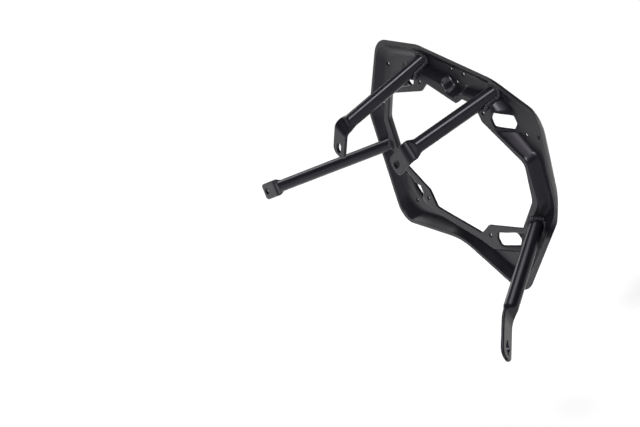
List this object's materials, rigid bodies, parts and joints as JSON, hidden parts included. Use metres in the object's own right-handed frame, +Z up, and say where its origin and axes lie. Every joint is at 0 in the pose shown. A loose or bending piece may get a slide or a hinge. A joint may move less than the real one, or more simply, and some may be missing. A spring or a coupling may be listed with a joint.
{
  "type": "pannier frame",
  "caption": "Pressed ring plate on four welded tube struts, bolted to a motorcycle's side to carry a hard pannier.",
  "frame": {"origin": "centre of the fixing hole in the rear strut's flattened end, at mid wall", "axes": "+X to the front of the motorcycle, +Y outboard along that hole, +Z up, as the frame is installed on the left side"},
  "size_m": [0.5978, 0.1484, 0.3566],
  "materials": {
    "black_coat": "satin black powder coat",
    "weld_coat": "satin black powder coat over a weld bead"
  },
  "bodies": {
    "root": {"carrier_plate": "black_coat", "upper_rear_strut": "black_coat", "upper_front_strut": "black_coat", "rear_strut": "black_coat", "lower_strut": "black_coat", "upper_rear_weld": "weld_coat", "upper_front_weld": "weld_coat", "rear_weld": "weld_coat", "lower_weld": "weld_coat"}
  },
  "joints": []
}
